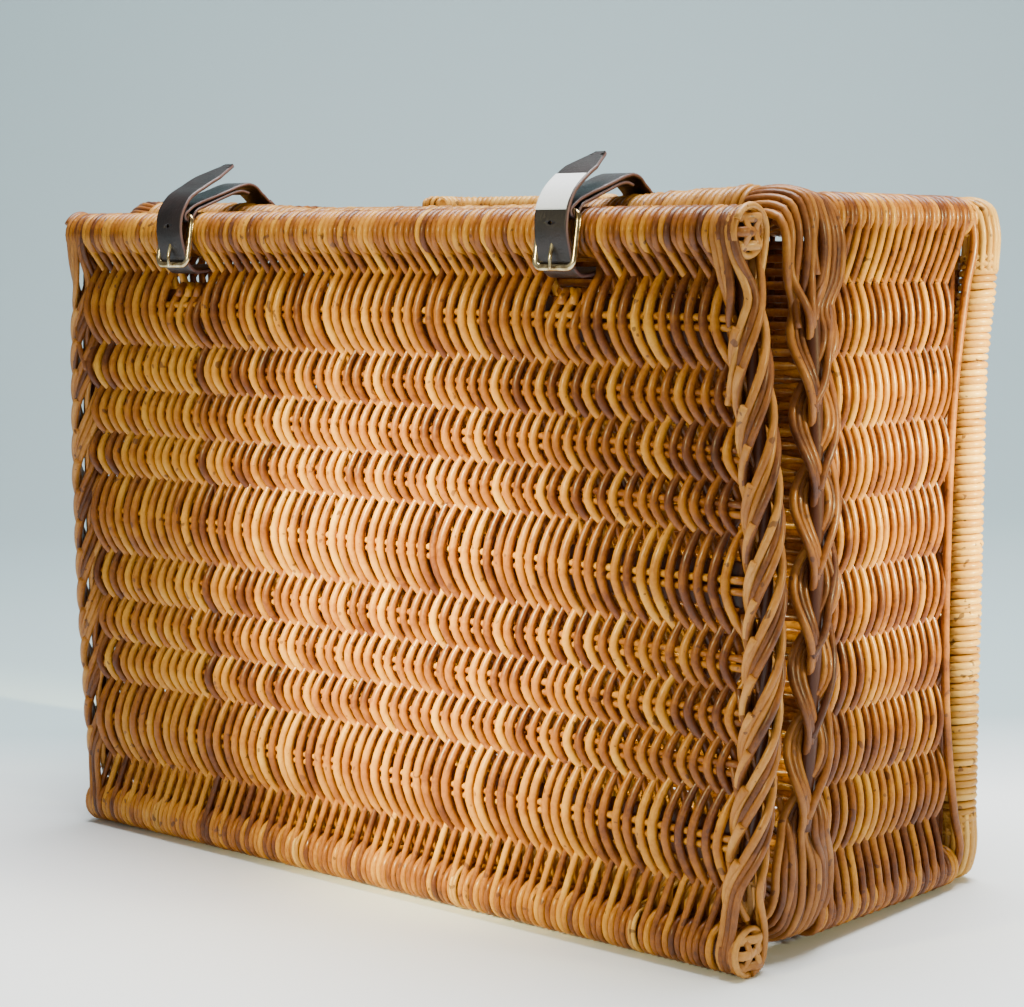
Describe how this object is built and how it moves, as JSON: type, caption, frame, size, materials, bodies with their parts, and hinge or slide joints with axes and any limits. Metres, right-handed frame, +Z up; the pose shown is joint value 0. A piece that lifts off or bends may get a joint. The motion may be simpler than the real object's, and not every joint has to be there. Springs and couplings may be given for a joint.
{
  "type": "woven cane hamper",
  "caption": "Suitcase-shaped hamper of woven round cane, standing on its hinge side, with a hinged lid, a folding carry handle and buckled leather straps.",
  "frame": {"origin": "on the floor, under the middle of the hamper's box", "axes": "+X along the hamper's length, +Y from the lid towards the base, +Z up"},
  "size_m": [0.64, 0.3036, 0.4931],
  "materials": {
    "woven_cane": "varnished, glossy",
    "binding_cane": "varnished, satin",
    "strap_leather": "smooth, worn satin",
    "brass": "polished, lightly tarnished",
    "paper": "matt"
  },
  "bodies": {
    "hamper": {"base_binding_left": "binding_cane", "base_binding_right": "binding_cane", "base_panel": "woven_cane", "base_roll_bottom": "woven_cane", "base_roll_top": "woven_cane", "bottom_wall": "woven_cane", "corner_post_bottom_left": "woven_cane", "corner_post_bottom_right": "woven_cane", "corner_post_top_left": "woven_cane", "corner_post_top_right": "woven_cane", "handle_loops": "binding_cane", "hinge_rings": "binding_cane", "rim_plait_left": "woven_cane", "rim_plait_right": "woven_cane", "rim_roll_bottom": "woven_cane", "rim_roll_top": "woven_cane", "side_wall_left": "woven_cane", "side_wall_right": "woven_cane", "strap_anchor_left": "strap_leather", "strap_anchor_right": "strap_leather", "top_wall": "woven_cane"},
    "lid": {"lid_panel": "woven_cane", "lid_plait_left": "woven_cane", "lid_plait_right": "woven_cane", "lid_roll_bottom": "woven_cane", "lid_roll_knots": "woven_cane", "lid_roll_top": "woven_cane", "lid_slats": "woven_cane", "tongue_left": "strap_leather", "tongue_right": "strap_leather", "paper_label": "paper"},
    "handle": {"handle": "binding_cane"},
    "left_strap": {"chape_left": "strap_leather", "buckle_frame_left": "brass", "chape_rivet_left": "brass"},
    "right_strap": {"chape_right": "strap_leather", "buckle_frame_right": "brass", "chape_rivet_right": "brass"},
    "left_prong": {"prong_left": "brass"},
    "right_prong": {"prong_right": "brass"}
  },
  "joints": [
    {"name": "lid_hinge", "type": "hinge", "parent": "hamper", "child": "lid", "pos_m": [0, -0.12787, 0.016], "axis": [1, 0, 0], "range_deg": [0, 90], "deforming": ["tongue_left", "tongue_right", "paper_label"]},
    {"name": "handle_swing", "type": "hinge", "parent": "hamper", "child": "handle", "pos_m": [0, 0.01202, 0.46116], "axis": [1, 0, 0], "range_deg": [0, 180]},
    {"name": "left_strap_fold", "type": "hinge", "parent": "hamper", "child": "left_strap", "pos_m": [0, -0.06687, 0.4712], "axis": [-1, 0, 0], "range_deg": [0, 140]},
    {"name": "right_strap_fold", "type": "hinge", "parent": "hamper", "child": "right_strap", "pos_m": [0, -0.06687, 0.4712], "axis": [-1, 0, 0], "range_deg": [0, 140]},
    {"name": "left_prong_swing", "type": "hinge", "parent": "left_strap", "child": "left_prong", "pos_m": [0, -0.14037, 0.457], "axis": [-1, 0, 0], "range_deg": [0, 100]},
    {"name": "right_prong_swing", "type": "hinge", "parent": "right_strap", "child": "right_prong", "pos_m": [0, -0.14037, 0.457], "axis": [-1, 0, 0], "range_deg": [0, 100]}
  ],
  "couplings": [
    {"joint": "left_strap_fold", "follows": "lid_hinge", "ratio": 1.5555},
    {"joint": "left_prong_swing", "follows": "lid_hinge", "ratio": 1.1111},
    {"joint": "right_strap_fold", "follows": "lid_hinge", "ratio": 1.5555},
    {"joint": "right_prong_swing", "follows": "lid_hinge", "ratio": 1.1111}
  ]
}
